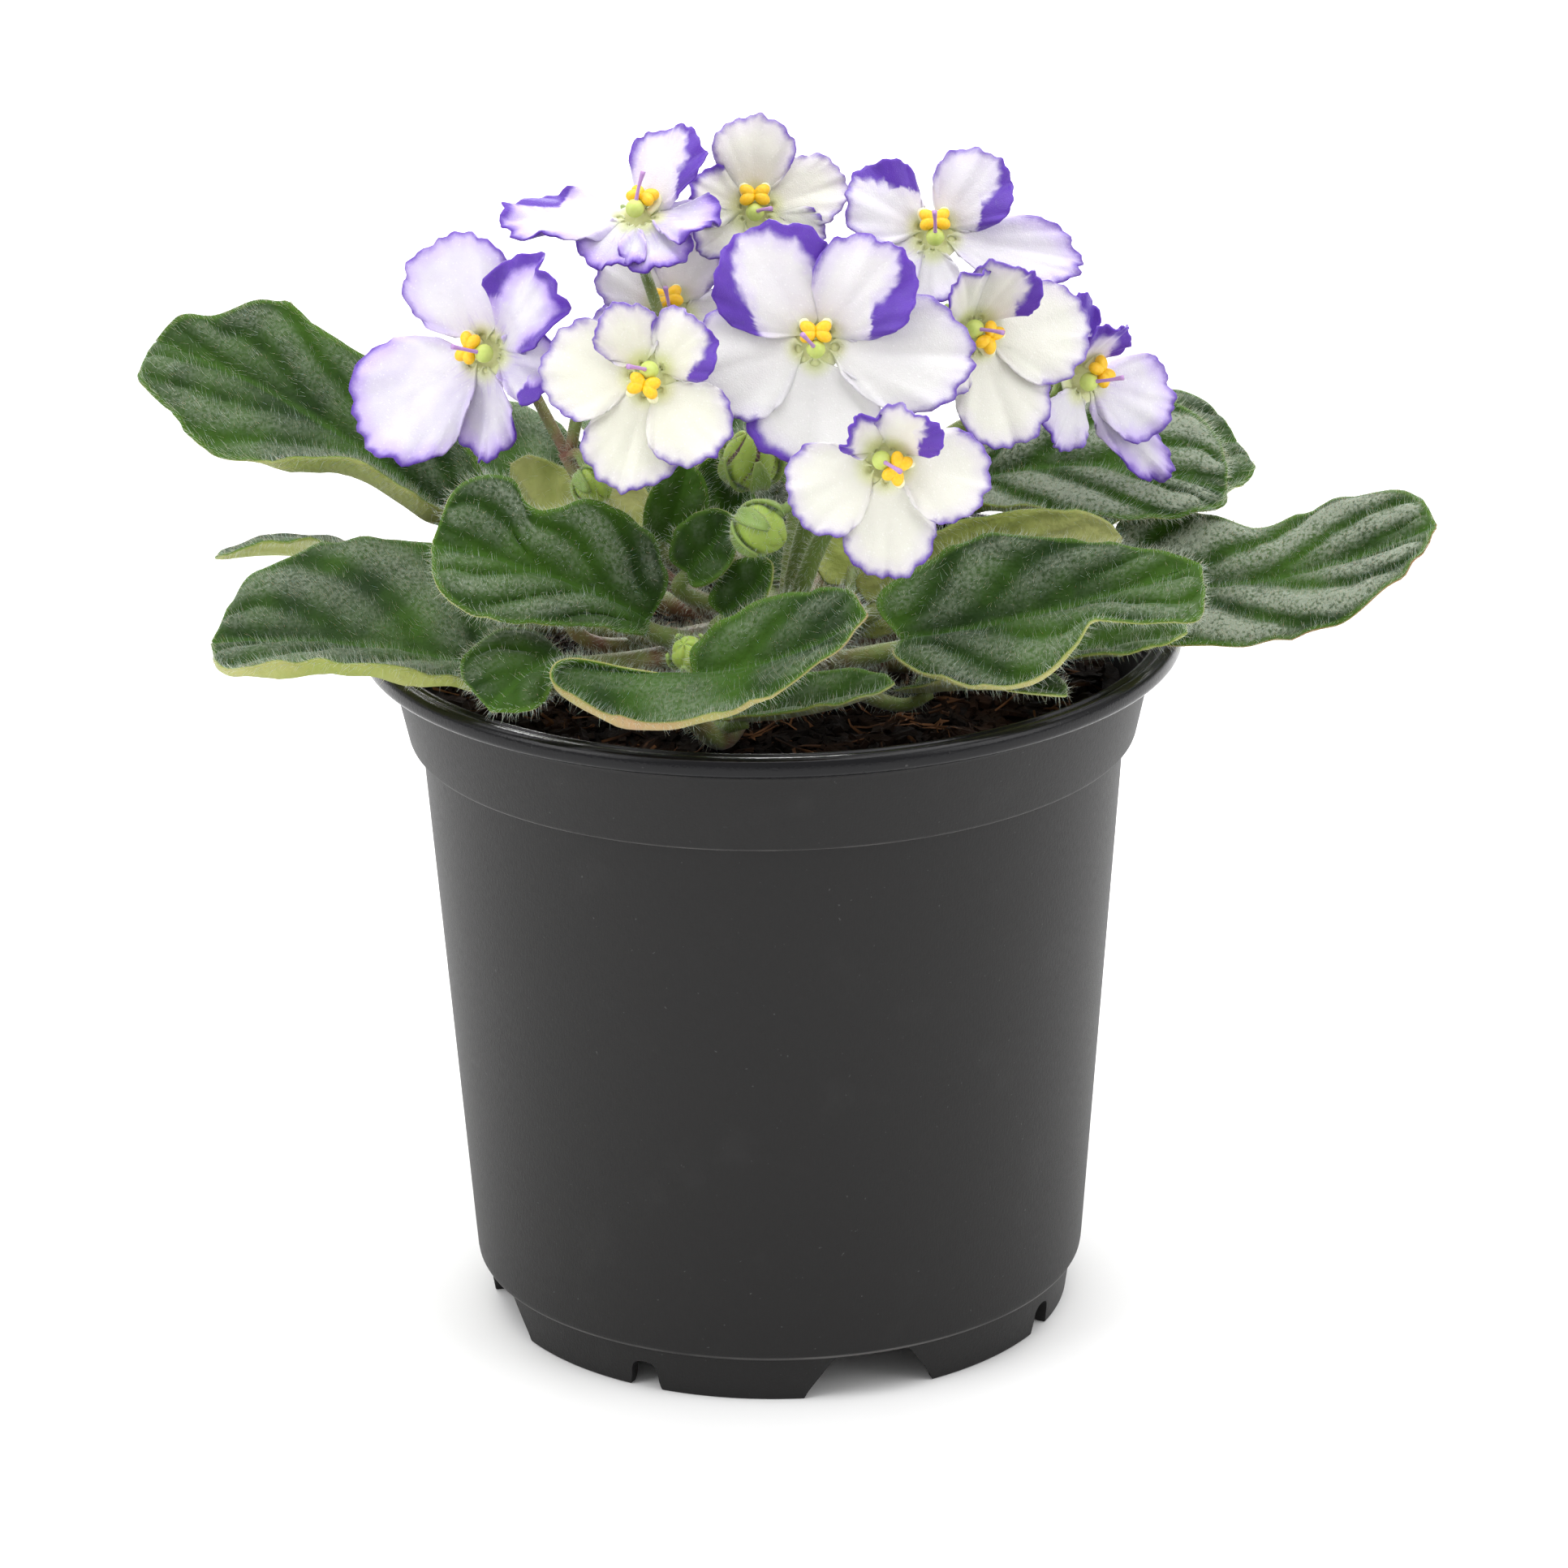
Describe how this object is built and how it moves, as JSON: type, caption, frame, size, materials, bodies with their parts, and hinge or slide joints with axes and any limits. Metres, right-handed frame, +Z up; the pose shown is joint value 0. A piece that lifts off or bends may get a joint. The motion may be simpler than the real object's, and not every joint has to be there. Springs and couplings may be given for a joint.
{
  "type": "potted african violet",
  "caption": "Flowering African violet in a round black nursery pot: hairy leaves in a rosette, ruffled white blooms with purple edges.",
  "frame": {"origin": "centre of the pot's foot, on the surface that the pot stands on", "axes": "+Z up along the pot's axis, +X to the plant's right as seen from its front, -Y towards the front"},
  "size_m": [0.1897, 0.1252, 0.1761],
  "materials": {
    "black_plastic": "satin black, thin moulded plastic",
    "potting_mix": "loose dark bark and peat",
    "leaf_tissue": "fleshy, hairy green leaf",
    "stalk_tissue": "fleshy, hairy green to brown stalk",
    "petal_tissue": "thin white petal with a purple frilled edge",
    "pollen_yellow": "powdery yellow",
    "pistil_green": "smooth lime green"
  },
  "bodies": {
    "root": {"pot": "black_plastic", "potting_mix": "potting_mix", "crown_and_stalks": "stalk_tissue", "leaf_01": "leaf_tissue", "leaf_02": "leaf_tissue", "leaf_03": "leaf_tissue", "leaf_04": "leaf_tissue", "leaf_05": "leaf_tissue", "leaf_06": "leaf_tissue", "leaf_07": "leaf_tissue", "leaf_08": "leaf_tissue", "leaf_09": "leaf_tissue", "leaf_10": "leaf_tissue", "leaf_11": "leaf_tissue", "leaf_12": "leaf_tissue", "leaf_13": "leaf_tissue", "leaf_14": "leaf_tissue", "leaf_15": "leaf_tissue", "leaf_16": "leaf_tissue", "leaf_17": "leaf_tissue", "leaf_18": "leaf_tissue", "leaf_19": "leaf_tissue", "leaf_20": "leaf_tissue", "leaf_21": "leaf_tissue", "leaf_22": "leaf_tissue", "leaf_23": "leaf_tissue", "leaf_24": "leaf_tissue", "leaf_25": "leaf_tissue", "bloom_01_petals": "petal_tissue", "bloom_01_anthers": "pollen_yellow", "bloom_01_pistil": "pistil_green", "bloom_02_petals": "petal_tissue", "bloom_02_anthers": "pollen_yellow", "bloom_02_pistil": "pistil_green", "bloom_03_petals": "petal_tissue", "bloom_03_anthers": "pollen_yellow", "bloom_03_pistil": "pistil_green", "bloom_04_petals": "petal_tissue", "bloom_04_anthers": "pollen_yellow", "bloom_04_pistil": "pistil_green", "bloom_05_petals": "petal_tissue", "bloom_05_anthers": "pollen_yellow", "bloom_05_pistil": "pistil_green", "bloom_06_petals": "petal_tissue", "bloom_06_anthers": "pollen_yellow", "bloom_06_pistil": "pistil_green", "bloom_07_petals": "petal_tissue", "bloom_07_anthers": "pollen_yellow", "bloom_07_pistil": "pistil_green", "bloom_08_petals": "petal_tissue", "bloom_08_anthers": "pollen_yellow", "bloom_08_pistil": "pistil_green", "bloom_09_petals": "petal_tissue", "bloom_09_anthers": "pollen_yellow", "bloom_09_pistil": "pistil_green", "bloom_10_petals": "petal_tissue", "bloom_10_anthers": "pollen_yellow", "bloom_10_pistil": "pistil_green"}
  },
  "joints": []
}
